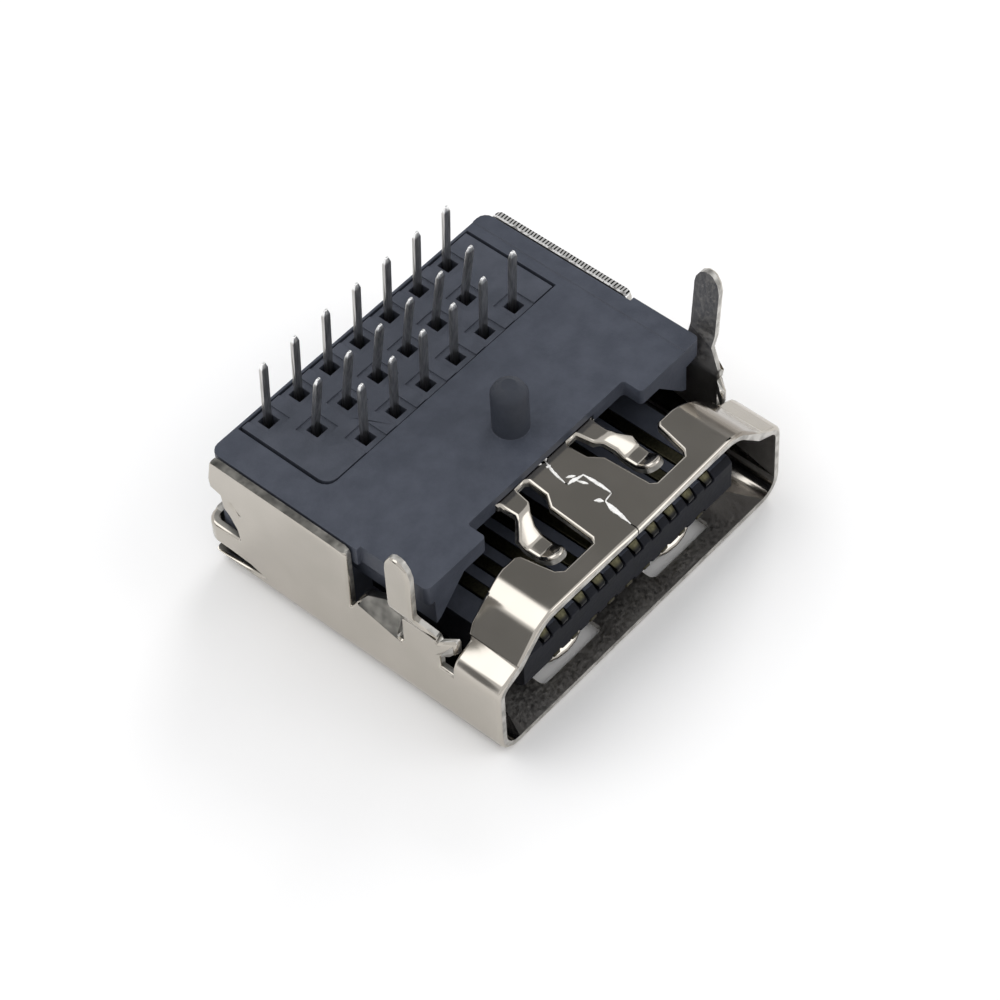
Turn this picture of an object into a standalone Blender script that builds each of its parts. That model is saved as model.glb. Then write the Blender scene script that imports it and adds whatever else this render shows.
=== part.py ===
"""A board-mounted digital video socket, right-angle type with through-hole tails.

It is built from its own pieces: a shell folded from one flat blank, a moulded housing that
carries the tongue, a block that lines up the tails, and nineteen formed contacts.

Lengths below are in millimetres, and a mesh is turned into metres when it is made. The model
lies with the wide face of the shell on the ground and the board face up. Depth is measured
back from the rim of the mouth, height up from the wide face, and x from the middle of the shell.
"""

import math

import bpy
from mathutils import Vector
from mathutils.geometry import delaunay_2d_cdt

MM = 0.001

# Main sizes of the socket
SHEET = 0.30
MOUTH_WIDTH = 14.0
MOUTH_HEIGHT = 4.60
DEPTH = 13.25
BOARD = 5.60
CLEAR = 0.05

# Section of the shell
CORNER = 0.90
NARROW_HALF = 4.96
SLANT_DROP = 1.25
SHELF_DROP = 1.68
SHELF_WIDTH = 0.95
SHELF_BEND = 0.55
SLANT_BENDS = 0.40

# Collar and narrow face
COLLAR_DEPTH = 2.40
RELIEF_FRONT = 2.00
RELIEF_REAR = 2.55
RELIEF_HEIGHT = 2.80
BAND_DEPTH = 0.80
BAND_REAR = 5.00
WINDOW_REAR = 4.15
SEAM_GAP = 0.05
NOTCH = 0.34

# Springs of the narrow face and of the wide face
SPRING_HALF = 0.44
SPRING_TIP = 1.40
SPRING_DIP = 0.56
FLOOR_SPRING_X = 2.85
FLOOR_SPRING_HALF = 1.20
FLOOR_SPRING_TIP = 0.95
FLOOR_SPRING_ROOT = 4.50
FLOOR_SPRING_RISE = 0.50

# Legs, tabs, lips and straps of the side walls
LEG_FRONT = 3.10
LEG_WIDTH = 1.05
LEG_BASE = 4.12
LEG_TOP = 8.06
LEG_JOG = 0.55
SHOULDER = 4.45
SHOULDER_TOP = 5.05
TAB_LEAN = 0.48
LIP_LOW = 3.42
LIP_HIGH = 4.08
LIP_FRONT = RELIEF_FRONT + 0.08
LIP_JOG = 0.32
LIP_RAMP = 0.40
WALL_FRONT = 6.47
FLOOR_REAR = 12.93
STRAP_LOW = 1.17
STRAP_HIGH = 2.10
STRAP_BEND = 0.40
STRAP_REACH = 2.40

# Housing
HOUSING_REAR = 12.87
HOUSING_SIDE = 6.92
HOUSING_CORNER = 0.40
ROOF_FRONT = 4.20
WING_FRONT = 3.40
WING_INNER = 3.85
WING_INNER_RIGHT = 4.02
WING_SIDE = 6.40
WING_LEFT = 6.72
WING_RIGHT = 7.10
WING_FLARE = 4.72
TAB_SPACE = 6.28
BASE_FRONT = 7.30
BASE_THICK = 0.60
STEP_X = 6.29
STEP_RISE = 0.04
PEG_X = 0.20
PEG_DEPTH = 5.84
PEG_ACROSS = 1.30
PEG_HEIGHT = 2.05
PEG_CHAMFER = 0.38

# Tongue
TONGUE_HALF = 5.40
TONGUE_LOW = 1.30
TONGUE_HIGH = 3.00
TONGUE_FRONT = 0.60
TONGUE_CHAMFER = 0.22

# Contacts: half the pitch along each side of the tongue, then the tails and their three rows
CONTACT_STEP = 0.465
CONTACT_WIDE = 0.42
CONTACT_THICK = 0.16
CONTACT_PROUD = 0.05
CONTACT_FRONT = 0.62
CONTACT_DROP = 0.17
TAIL_MIDDLE = -0.20
TAIL_WIDE = 0.30
TAIL_RISE = 2.87
TAIL_PITCH = 1.50
REAR_ROW = 12.26
ROW_GAP = 1.50
HOLE = 0.52
HOLE_PLAY = (0.07, 0.12)

# Tail block: its edges are measured from the outermost tails
BLOCK_LEFT = TAIL_MIDDLE - 3 * TAIL_PITCH - 0.82
BLOCK_RIGHT = TAIL_MIDDLE + 3 * TAIL_PITCH + 1.47
BLOCK_FRONT = REAR_ROW - 2 * ROW_GAP - 0.48
BLOCK_REAR = REAR_ROW + 0.46
BLOCK_THICK = 1.00
BLOCK_ROUND = 0.45
SIDE_GAP = 0.12
LEDGE = 0.20
LEAD_IN = 1.00
LEAD_IN_DEEP = 0.07

WALL_MID = MOUTH_WIDTH / 2 + SHEET / 2
TOP_MID = MOUTH_HEIGHT + 1.5 * SHEET
TOP_IN = MOUTH_HEIGHT + SHEET


class Path:
    """A bent line, read by the length along it."""

    def __init__(self, points):
        self.points = [Vector(p) for p in points]
        self.at = [0.0]
        for a, b in zip(self.points, self.points[1:]):
            self.at.append(self.at[-1] + (b - a).length)
        self.total = self.at[-1]

    def heading(self, i):
        return (self.points[i + 1] - self.points[i]).normalized()

    def place(self, length, left):
        """The point at this length, moved to the left of the line."""
        last = len(self.at) - 2
        for i, at in enumerate(self.at[1:-1], 1):
            if abs(length - at) < 1e-4:
                a = self.heading(i - 1)
                b = self.heading(i)
                mitre = Vector((-a.y - b.y, a.x + b.x)).normalized()
                share = mitre.dot(Vector((-a.y, a.x)))
                return self.points[i] + mitre * (left / share)
        i = 0
        while i < last and length > self.at[i + 1]:
            i += 1
        ahead = self.heading(i)
        return self.points[i] + ahead * (length - self.at[i]) + Vector((-ahead.y, ahead.x)) * left


def rounded(points, radii, steps=4):
    """The points with each inner corner turned into an arc of its own radius."""
    points = [Vector(p) for p in points]
    out = [points[0]]
    for before, corner, after, radius in zip(points, points[1:], points[2:], radii):
        back = (before - corner).normalized()
        ahead = (after - corner).normalized()
        half = back.angle(ahead) / 2
        if radius < 1e-6 or half > math.radians(89):
            out.append(corner)
            continue
        centre = corner + (back + ahead).normalized() * (radius / math.sin(half))
        start = corner + back * (radius / math.tan(half)) - centre
        turn = math.pi - 2 * half
        if start.x * back.y - start.y * back.x > 0:
            turn = -turn
        for k in range(steps + 1):
            c = math.cos(turn * k / steps)
            s = math.sin(turn * k / steps)
            out.append(centre + Vector((start.x * c - start.y * s, start.x * s + start.y * c)))
    out.append(points[-1])
    return out


def loop_rounded(points, radii, steps=4):
    """A closed outline with its corners rounded."""
    wrapped = [points[-1]] + list(points) + [points[0]]
    return rounded(wrapped, radii, steps)[1:-1]


def circle(x, y, radius, steps):
    turns = [2 * math.pi * k / steps for k in range(steps)]
    return [(x + radius * math.cos(t), y + radius * math.sin(t)) for t in turns]


def inside(point, outline):
    """Whether the point lies within the closed outline."""
    x, y = point
    found = False
    for (ax, ay), (bx, by) in zip(outline, outline[1:] + outline[:1]):
        if (ay > y) != (by > y) and x < ax + (y - ay) * (bx - ax) / (by - ay):
            found = not found
    return found


def pattern(shapes, creases=()):
    """Points and triangles of a flat pattern: outlines laid down in turn, each kept or cut out."""
    shapes = [(keep, [tuple(p) for p in outline]) for keep, outline in shapes]
    points = []
    edges = []
    for _, outline in shapes:
        first = len(points)
        points += outline
        edges += [(first + k, first + (k + 1) % len(outline)) for k in range(len(outline))]
    for crease in creases:
        first = len(points)
        points += [tuple(p) for p in crease]
        edges += [(first + k, first + k + 1) for k in range(len(crease) - 1)]
    flat = delaunay_2d_cdt([Vector(p) for p in points], edges, [], 0, 1e-4)
    corners = [tuple(v) for v in flat[0]]
    kept = []
    for tri in flat[2]:
        middle = (sum(corners[i][0] for i in tri) / 3, sum(corners[i][1] for i in tri) / 3)
        state = False
        for keep, outline in shapes:
            if inside(middle, outline):
                state = keep
        if state:
            kept.append(tuple(tri))
    used = sorted({i for tri in kept for i in tri})
    place = {old: new for new, old in enumerate(used)}
    return [corners[i] for i in used], [tuple(place[i] for i in tri) for tri in kept]


def mesh_object(name, points, faces):
    """An object from points in millimetres, with its faces turned outward."""
    six_volumes = 0.0
    for face in faces:
        a = Vector(points[face[0]])
        for i, j in zip(face[1:], face[2:]):
            six_volumes += a.dot(Vector(points[i]).cross(Vector(points[j])))
    if six_volumes < 0:
        faces = [tuple(reversed(face)) for face in faces]
    mesh = bpy.data.meshes.new(name)
    mesh.from_pydata([Vector(p) * MM for p in points], [], faces)
    mesh.update()
    made = bpy.data.objects.new(name, mesh)
    bpy.context.scene.collection.objects.link(made)
    return made


def sheet_object(name, points, triangles, place):
    """A flat pattern given its two skins, where place turns (point, side) into space."""
    count = len(points)
    placed = [place(p, -1) for p in points] + [place(p, 1) for p in points]
    faces = [(a, b, c) for a, b, c in triangles]
    faces += [(c + count, b + count, a + count) for a, b, c in triangles]
    sides = {(t[k], t[(k + 1) % 3]) for t in triangles for k in range(3)}
    faces += [(b, a, a + count, b + count) for a, b in sorted(sides) if (b, a) not in sides]
    return mesh_object(name, placed, faces)


def plate(name, shapes, low, high):
    """A plan drawn in x and depth, as thick as the two heights say."""
    points, triangles = pattern(shapes)

    def place(point, side):
        return point[0], point[1] - DEPTH / 2, high if side > 0 else low

    return sheet_object(name, points, triangles, place)


def beam(name, section, front, rear):
    """A section drawn in x and height, as long as the two depths say."""
    points, triangles = pattern([(True, section)])

    def place(point, side):
        return point[0], (rear if side > 0 else front) - DEPTH / 2, point[1]

    return sheet_object(name, points, triangles, place)


def boxes(name, sizes):
    """Boxes that stay clear of each other, in one mesh."""
    points = []
    faces = []
    for x0, x1, front, rear, low, high in sizes:
        first = len(points)
        for z in (low, high):
            for x, y in ((x0, front), (x1, front), (x1, rear), (x0, rear)):
                points.append((x, y - DEPTH / 2, z))
        quads = ((3, 2, 1, 0), (4, 5, 6, 7), (0, 1, 5, 4), (1, 2, 6, 5), (2, 3, 7, 6), (3, 0, 4, 7))
        faces += [tuple(first + i for i in quad) for quad in quads]
    return mesh_object(name, points, faces)


def apply_tool(target, tool, operation):
    """Cuts the target with the tool, or joins it on, and keeps the tool out of the model."""
    tool.display_type = "WIRE"
    tool.hide_render = True
    step = target.modifiers.new(tool.name, "BOOLEAN")
    step.operation = operation
    step.solver = "EXACT"
    step.object = tool


def material(name, colour, metallic, roughness):
    made = bpy.data.materials.new(name)
    made.use_nodes = True
    shader = made.node_tree.nodes["Principled BSDF"]
    shader.inputs["Base Color"].default_value = (*colour, 1)
    shader.inputs["Metallic"].default_value = metallic
    shader.inputs["Roughness"].default_value = roughness
    made.diffuse_color = (*colour, 1)
    return made


def between(value, table):
    """The second column at this value of the first, on straight lines between the rows."""
    for (a, va), (b, vb) in zip(table, table[1:]):
        if value <= b:
            return va + (vb - va) * max(0.0, (value - a) / (b - a))
    return table[-1][1]


for old in list(bpy.data.objects):
    bpy.data.objects.remove(old)


# The shell. Its flat blank is drawn in two lengths: one round the section, from the middle of
# the wide face, and the depth. The collar folds right over to the seam, while the rest of each
# side stands up straight as a wall.

FLOOR = (0, SHEET / 2)
FOOT = (WALL_MID, SHEET / 2)
MID_CORNER = CORNER - SHEET / 2
collar_path = Path(
    rounded(
        [
            FLOOR,
            FOOT,
            (WALL_MID, TOP_MID - SHELF_DROP),
            (WALL_MID - SHELF_WIDTH, TOP_MID - SLANT_DROP),
            (NARROW_HALF, TOP_MID),
            (0, TOP_MID),
        ],
        [MID_CORNER, SHELF_BEND, SLANT_BENDS, SLANT_BENDS],
    )
)
wall_path = Path(rounded([FLOOR, FOOT, (WALL_MID, 4 * BOARD)], [MID_CORNER]))
WALL_FOOT = wall_path.at[-2]


def wall(z):
    """Where this height of a side wall lies on the blank."""
    return WALL_FOOT + z - CORNER


def top(x):
    """Where this distance from the middle of the narrow face lies on the blank."""
    return collar_path.total - x


def on_wall(outline):
    return [(wall(z), depth) for depth, z in outline]


def on_top(outline):
    return [(top(x), depth) for x, depth in outline]


# The line of a narrow-face spring and its half width, by depth
SIDE_SPRING = [(0.0, 2.48), (2.95, 2.47), (3.35, 2.17), (3.55, 1.98), (WINDOW_REAR, 1.92)]
SPRING_WIDTHS = [(0.0, 0.84), (1.9, 0.90), (2.4, 0.94), (2.95, 1.0), (3.35, 0.75), (3.55, 0.86)]
SPRING_WIDTHS += [(WINDOW_REAR, 1.0)]
LEG_REAR = LEG_FRONT + LEG_WIDTH
BLANK_LEG = 0.60 * (LEG_TOP - LEG_BASE)
LEG_LIMIT = (wall(LEG_BASE) + BLANK_LEG + top(3.3)) / 2
TAB_FRONT = (LEG_REAR + 0.21, 2.80)
TAB_REAR = (WALL_FRONT - 0.29, 3.25)


def leg_blank(z):
    """The height on the blank, where a leg is drawn shorter, of a height on the folded leg."""
    return LEG_BASE + (z - LEG_BASE) * BLANK_LEG / (LEG_TOP - LEG_BASE)


spring_path = Path(
    rounded(
        [
            (0, 0),
            (0.78, 0),
            (1.55, -SPRING_DIP),
            (2.15, -SPRING_DIP - 0.02),
            (WINDOW_REAR - SPRING_TIP, -0.35 * SPRING_DIP),
        ],
        [0.35, 0.4, 0.4],
    )
)
FLOOR_RUN = FLOOR_SPRING_ROOT - FLOOR_SPRING_TIP
floor_spring_path = Path(
    rounded(
        [
            (0, 0),
            (0.25 * FLOOR_RUN, 0),
            (0.72 * FLOOR_RUN, -FLOOR_SPRING_RISE),
            (0.84 * FLOOR_RUN, -FLOOR_SPRING_RISE),
            (FLOOR_RUN, -0.5 * FLOOR_SPRING_RISE),
        ],
        [0.5, 0.4, 0.4],
    )
)
leg_path = Path(
    rounded([(0, 0), (0.15, 0), (1.35, LEG_JOG), (LEG_TOP - LEG_BASE, LEG_JOG)], [0.6, 0.6])
)
STRAP_TURN = DEPTH - SHEET / 2 - STRAP_BEND
strap_path = Path(
    rounded([(-1, 0), (STRAP_BEND, 0), (STRAP_BEND, -STRAP_REACH)], [STRAP_BEND], 5)
)


def spring_reach(depth):
    return (WINDOW_REAR - depth) / (WINDOW_REAR - SPRING_TIP) * spring_path.total


def floor_spring_reach(depth):
    return (FLOOR_SPRING_ROOT - depth) / FLOOR_RUN * floor_spring_path.total


def fold(point, side):
    """The place in space of a point of the blank, on its inner or outer skin."""
    along, depth = point
    half = 1 if along >= 0 else -1
    along = abs(along)
    out = side * SHEET / 2
    path = wall_path
    lip = wall(LIP_LOW) - 0.05 < along < wall(LIP_HIGH) + 0.05 and depth > LIP_FRONT - 0.02
    if (depth < (COLLAR_DEPTH + RELIEF_REAR) / 2 and not lip) or along > LEG_LIMIT:
        path = collar_path
    x = collar_path.total - along
    z = along - WALL_FOOT + CORNER
    tip = spring_path.place(spring_reach(depth), out)
    floor_tip = floor_spring_path.place(floor_spring_reach(depth), out)
    if path is collar_path and abs(x - between(depth, SIDE_SPRING)) < SPRING_HALF + 0.1:
        if SPRING_TIP - 0.1 < depth < WINDOW_REAR:
            depth = WINDOW_REAR - tip.x
            out = tip.y
    elif abs(along - FLOOR_SPRING_X) < FLOOR_SPRING_HALF + 0.1:
        if FLOOR_SPRING_TIP - 0.1 < depth < FLOOR_SPRING_ROOT:
            depth = FLOOR_SPRING_ROOT - floor_tip.x
            out = floor_tip.y
    elif lip and depth < RELIEF_REAR:
        out -= LIP_JOG * min(1.0, (RELIEF_REAR - depth) / LIP_RAMP)
    elif path is wall_path and z > LEG_BASE and depth < LEG_REAR + 0.1:
        leg = leg_path.place((z - LEG_BASE) / BLANK_LEG * leg_path.total, out)
        along = wall(LEG_BASE + leg.x)
        out = leg.y
    elif path is wall_path and LEG_REAR + 0.1 < depth < WALL_FRONT - 0.05:
        run = Vector(TAB_REAR) - Vector(TAB_FRONT)
        above = run.cross(Vector((depth, z)) - Vector(TAB_FRONT)) / run.length
        out -= TAB_LEAN * max(0.0, above)
    elif path is wall_path and STRAP_LOW - 0.1 < z < STRAP_HIGH + 0.1 and depth > STRAP_TURN:
        bent = strap_path.place(depth - STRAP_TURN + 1, out)
        depth = STRAP_TURN + bent.x
        out = bent.y
    x, z = path.place(along, -out)
    return half * x, depth - DEPTH / 2, z


seam = [
    (-0.26, -0.5),
    (-0.26, 0.30),
    (-0.05, 1.57),
    (0.33, 1.62),
    (0.33, 2.83),
    (-0.29, 2.96),
    (-0.31, 3.06),
    (-0.18, 3.67),
    (-0.01, 4.27),
    (0.0, BAND_REAR + 1),
]
collar_arm = [
    (wall(2.0), -0.5),
    (wall(2.0), RELIEF_FRONT),
    (wall(3.0), RELIEF_FRONT),
    (wall(LIP_HIGH + 0.10), RELIEF_FRONT),
    (top(NARROW_HALF + 1.70), RELIEF_FRONT + 0.16),
    (top(NARROW_HALF + 1.35), RELIEF_FRONT + 0.24),
    (top(NARROW_HALF + 0.85), COLLAR_DEPTH - 0.04),
    (top(NARROW_HALF + 0.55), COLLAR_DEPTH),
    (top(-1.0), COLLAR_DEPTH),
    (top(-1.0), -0.5),
]
window = [
    (1.50, BAND_DEPTH + 0.15),
    (1.65, BAND_DEPTH),
    (3.05, BAND_DEPTH),
    (3.25, BAND_DEPTH + 0.20),
    (3.50, COLLAR_DEPTH - 0.15),
    (3.62, COLLAR_DEPTH - 0.03),
    (3.80, COLLAR_DEPTH + 0.5),
    (1.40, COLLAR_DEPTH + 0.5),
]
strip = [
    (-1.0, BAND_DEPTH + 0.4),
    (1.47, BAND_DEPTH + 0.4),
    (1.40, 2.80),
    (1.07, 3.25),
    (1.00, WINDOW_REAR - 0.1),
    (1.10, WINDOW_REAR),
    (1.10, WINDOW_REAR + 0.3),
    (-1.0, WINDOW_REAR + 0.3),
]
BAND_HALF = SIDE_SPRING[-1][1] + SPRING_HALF + 0.08
cross_band = [
    (-1.0, WINDOW_REAR),
    (BAND_HALF, WINDOW_REAR),
    (BAND_HALF, BAND_REAR),
    (-1.0, BAND_REAR),
]


def finger(middle, half, root, tip, nose):
    """A spring finger whose line and half width go by depth, with a rounded nose."""
    depths = [root, 3.55, 3.35, 2.95, 2.4, 1.9, tip + nose]
    depths = [d for d in depths if tip + nose <= d <= root]
    left = [(middle(d) - half(d), d) for d in depths]
    right = [(middle(d) + half(d), d) for d in reversed(depths)]
    wide = half(tip)
    turns = [math.pi * k / 8 for k in range(1, 8)]
    end = [(middle(tip) - wide * math.cos(t), tip + nose - nose * math.sin(t)) for t in turns]
    return left + end + right


spring = finger(
    lambda d: between(d, SIDE_SPRING),
    lambda d: SPRING_HALF * between(d, SPRING_WIDTHS),
    WINDOW_REAR + 0.2,
    SPRING_TIP,
    0.3,
)
floor_spring = finger(
    lambda d: FLOOR_SPRING_X,
    lambda d: FLOOR_SPRING_HALF,
    FLOOR_SPRING_ROOT + 0.2,
    FLOOR_SPRING_TIP,
    0.6,
)
floor_window = loop_rounded(
    [
        (FLOOR_SPRING_X - FLOOR_SPRING_HALF - 0.32, FLOOR_SPRING_TIP - 0.25),
        (FLOOR_SPRING_X + FLOOR_SPRING_HALF + 0.32, FLOOR_SPRING_TIP - 0.25),
        (FLOOR_SPRING_X + FLOOR_SPRING_HALF + 0.32, FLOOR_SPRING_ROOT),
        (FLOOR_SPRING_X - FLOOR_SPRING_HALF - 0.32, FLOOR_SPRING_ROOT),
    ],
    [0.2] * 4,
)

HIGH = 1.2 * BOARD
shoulder_cut = [
    (RELIEF_REAR - 0.3, leg_blank(SHOULDER - 0.04)),
    (RELIEF_REAR + 0.06, leg_blank(SHOULDER)),
    (LEG_FRONT, leg_blank(SHOULDER_TOP)),
    (LEG_FRONT, HIGH),
    (RELIEF_REAR - 0.3, HIGH),
]
middle_cut = [
    (LEG_REAR, HIGH),
    (LEG_REAR, 2.95),
    (LEG_REAR + 0.08, 2.81),
    TAB_FRONT,
    (LEG_REAR + 0.27, 2.95),
    (LEG_REAR + 0.36, 3.88),
    (LEG_REAR + 0.48, 4.00),
    (WALL_FRONT - 0.54, 3.66),
    (WALL_FRONT - 0.42, 3.55),
    TAB_REAR,
    (WALL_FRONT - 0.01, 2.75),
    (WALL_FRONT + 0.06, 2.75),
    (WALL_FRONT, 2.95),
    (WALL_FRONT, BOARD - 0.22),
    (WALL_FRONT + 0.06, BOARD - 0.08),
    (WALL_FRONT + 0.22, BOARD),
    (WALL_FRONT + 0.22, HIGH),
]
leg = [
    (LEG_FRONT, leg_blank(SHOULDER_TOP - 0.4)),
    (LEG_FRONT, leg_blank(LEG_TOP - 0.62)),
    (LEG_FRONT + 0.10, leg_blank(LEG_TOP - 0.30)),
    (LEG_FRONT + 0.30, leg_blank(LEG_TOP - 0.06)),
    (LEG_FRONT + 0.46, leg_blank(LEG_TOP)),
    (LEG_REAR - 0.40, leg_blank(LEG_TOP)),
    (LEG_REAR - 0.20, leg_blank(LEG_TOP - 0.12)),
    (LEG_REAR - 0.04, leg_blank(LEG_TOP - 0.38)),
    (LEG_REAR, leg_blank(LEG_TOP - 0.62)),
    (LEG_REAR, LEG_BASE - 0.4),
    (LEG_FRONT, LEG_BASE - 0.4),
]
lip = [
    (RELIEF_REAR + 0.1, LIP_LOW),
    (LIP_FRONT + 0.08, LIP_LOW),
    (LIP_FRONT, LIP_LOW + 0.08),
    (LIP_FRONT, LIP_HIGH - 0.08),
    (LIP_FRONT + 0.08, LIP_HIGH),
    (RELIEF_REAR + 0.1, LIP_HIGH),
]
WALL_REAR = HOUSING_REAR - 0.27
rear_cut = [
    (WALL_REAR - 0.25, HIGH),
    (WALL_REAR - 0.25, BOARD),
    (WALL_REAR - 0.06, BOARD - 0.05),
    (WALL_REAR, BOARD - 0.16),
    (WALL_REAR + 0.16, 4.61),
    (WALL_REAR + 0.11, 4.18),
    (WALL_REAR - 0.34, 4.05),
    (WALL_REAR - 0.40, 3.45),
    (WALL_REAR - 0.64, 3.22),
    (WALL_REAR - 0.94, 2.70),
    (WALL_REAR - 1.03, 2.20),
    (WALL_REAR - 0.90, STRAP_HIGH),
    (DEPTH + 1, STRAP_HIGH),
    (DEPTH + 1, HIGH),
]
lens_cut = [
    (WALL_REAR - 2.05, 0.92),
    (WALL_REAR - 1.40, STRAP_LOW - 0.05),
    (WALL_REAR - 0.60, STRAP_LOW),
    (DEPTH + 1, STRAP_LOW),
    (DEPTH + 1, 0.63),
    (WALL_REAR - 0.80, 0.63),
    (WALL_REAR - 1.60, 0.74),
]
strap = [
    (WALL_REAR - 0.60, STRAP_LOW),
    (WALL_REAR - 0.60, STRAP_HIGH),
    (STRAP_TURN + strap_path.total - 1, STRAP_HIGH),
    (STRAP_TURN + strap_path.total - 1, STRAP_LOW),
]
coin_slit = [
    (WALL_REAR - 0.86, 4.02),
    (WALL_REAR - 0.83, 3.96),
    (WALL_REAR - 1.14, 3.57),
    (WALL_REAR - 1.18, 3.63),
]


def mirrored(outline):
    return [(-s, depth) for s, depth in outline]


shapes = [
    (
        True,
        [
            (-wall(BOARD), 0),
            (wall(BOARD), 0),
            (wall(BOARD), FLOOR_REAR),
            (-wall(BOARD), FLOOR_REAR),
        ],
    )
]
relief_cut = [(RELIEF_REAR, RELIEF_HEIGHT), (RELIEF_REAR, HIGH), (-1, HIGH), (-1, RELIEF_HEIGHT)]
for half in (1, -1):
    side = [
        (False, on_wall(relief_cut)),
        (True, collar_arm),
        (True, on_wall(lip)),
        (False, on_top(window)),
        (True, on_top(strip)),
        (True, on_top(cross_band)),
        (True, on_top(spring)),
        (False, on_wall(shoulder_cut)),
        (False, on_wall(middle_cut)),
        (True, on_wall(leg)),
        (False, on_wall(rear_cut)),
        (False, on_wall(lens_cut)),
        (True, on_wall(strap)),
        (False, on_wall(coin_slit)),
        (False, floor_window),
        (True, floor_spring),
    ]
    edge = Path([(half * x, depth) for x, depth in seam])
    seam_line = [edge.place(at, -SEAM_GAP / 2) for at in edge.at]
    beyond = [(-2.0, BAND_REAR + 1), (-2.0, -0.5)]
    side.append((False, on_top([tuple(p) for p in seam_line] + beyond)))
    side.append((False, on_top(circle(half * seam[-2][0], seam[-2][1], NOTCH / 2, 10))))
    if half < 0:
        side = [(keep, mirrored(outline)) for keep, outline in side]
    shapes += side
shapes.append((False, [(-30, -5), (30, -5), (30, 0), (-30, 0)]))

creases = []
for half in (1, -1):
    for at in wall_path.at[1:-1]:
        creases.append([(half * at, -0.2), (half * at, DEPTH)])
    for at in collar_path.at[len(wall_path.at) - 1 : -1]:
        creases.append([(half * at, -0.2), (half * at, COLLAR_DEPTH + 0.05)])
    for at in spring_path.at[1:-1]:
        depth = WINDOW_REAR - at / spring_path.total * (WINDOW_REAR - SPRING_TIP)
        middle = top(between(depth, SIDE_SPRING))
        reach = SPRING_HALF + 0.05
        creases.append([(half * (middle - reach), depth), (half * (middle + reach), depth)])
    for at in floor_spring_path.at[1:-1]:
        depth = FLOOR_SPRING_ROOT - at / floor_spring_path.total * FLOOR_RUN
        reach = FLOOR_SPRING_HALF + 0.05
        middle = half * FLOOR_SPRING_X
        creases.append([(middle - reach, depth), (middle + reach, depth)])
    for at in leg_path.at[1:-1]:
        z = LEG_BASE + at / leg_path.total * BLANK_LEG
        creases.append([(half * wall(z), RELIEF_REAR + 0.02), (half * wall(z), LEG_REAR + 0.05)])
    creases.append([(half * s, depth) for s, depth in on_wall([TAB_FRONT, TAB_REAR])])
    for depth in (RELIEF_REAR, RELIEF_REAR - LIP_RAMP):
        ends = on_wall([(depth, LIP_LOW - 0.04), (depth, LIP_HIGH + 0.04)])
        creases.append([(half * s, d) for s, d in ends])
    for at in strap_path.at[1:-1]:
        depth = STRAP_TURN + at - 1
        creases.append(
            [(half * wall(STRAP_LOW - 0.05), depth), (half * wall(STRAP_HIGH + 0.05), depth)]
        )

shell = sheet_object("shell", *pattern(shapes, creases), fold)
shell.data.materials.append(material("nickel_plate", (0.62, 0.60, 0.57), 1.0, 0.22))


# The housing. Its roof carries the peg and two wings, its rear block holds the contacts, and
# the tongue runs forward into the mouth.

step_top = BOARD + STEP_RISE
slant_foot = (WALL_MID - SHELF_WIDTH - 0.05, TOP_MID - SLANT_DROP - SHEET / 2 + 0.03)
roof_section = [
    (-HOUSING_SIDE - 1, BOARD),
    (-HOUSING_SIDE - 1, WING_FLARE + 0.2),
    (-WING_SIDE, WING_FLARE),
    (-WING_SIDE, slant_foot[1] - 0.14),
    (-slant_foot[0], slant_foot[1]),
    (-NARROW_HALF, TOP_IN),
    (NARROW_HALF, TOP_IN),
    slant_foot,
    (WING_SIDE, slant_foot[1] - 0.14),
    (WING_SIDE, WING_FLARE),
    (HOUSING_SIDE + 1, WING_FLARE + 0.2),
    (HOUSING_SIDE + 1, step_top),
    (STEP_X + 0.03, step_top),
    (STEP_X, BOARD),
]
HOUSING_LOW = SHEET + CLEAR
block_section = rounded(
    [
        (-HOUSING_SIDE, BOARD),
        (-HOUSING_SIDE, HOUSING_LOW),
        (HOUSING_SIDE, HOUSING_LOW),
        (HOUSING_SIDE, step_top),
        (STEP_X + 0.03, step_top),
        (STEP_X, BOARD),
    ],
    [CORNER - SHEET, CORNER - SHEET, 0, 0],
)


def half_plan(inner, reach):
    """One half of the housing's outline, whose wing runs between these distances."""
    turns = [
        (0, ROOF_FRONT),
        (inner, ROOF_FRONT),
        (inner, WING_FRONT),
        (reach, WING_FRONT),
        (reach, TAB_SPACE),
        (HOUSING_SIDE, TAB_SPACE),
        (HOUSING_SIDE, HOUSING_REAR),
        (0, HOUSING_REAR),
    ]
    return rounded(turns, [0.12, 0.15, 0.2, 0, 0, HOUSING_CORNER])


plan = half_plan(WING_INNER_RIGHT, WING_RIGHT)
plan += [(-x, depth) for x, depth in reversed(half_plan(WING_INNER, WING_LEFT)[1:-1])]

housing = beam("housing", block_section, BASE_FRONT, HOUSING_REAR + 0.3)
roof = beam("housing_roof", roof_section, WING_FRONT - 0.3, BASE_FRONT + 0.3)
outline = plate("housing_outline", [(True, plan)], -1, BOARD + 1)
tongue_section = [
    (TONGUE_FRONT, TONGUE_LOW + TONGUE_CHAMFER),
    (TONGUE_FRONT + TONGUE_CHAMFER, TONGUE_LOW),
    (BASE_FRONT + 0.3, TONGUE_LOW),
    (BASE_FRONT + 0.3, TONGUE_HIGH),
    (TONGUE_FRONT + TONGUE_CHAMFER, TONGUE_HIGH),
    (TONGUE_FRONT, TONGUE_HIGH - TONGUE_CHAMFER),
]


def tongue_place(point, side):
    return side * TONGUE_HALF, point[0] - DEPTH / 2, point[1]


tongue = sheet_object("housing_tongue", *pattern([(True, tongue_section)]), tongue_place)


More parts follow.
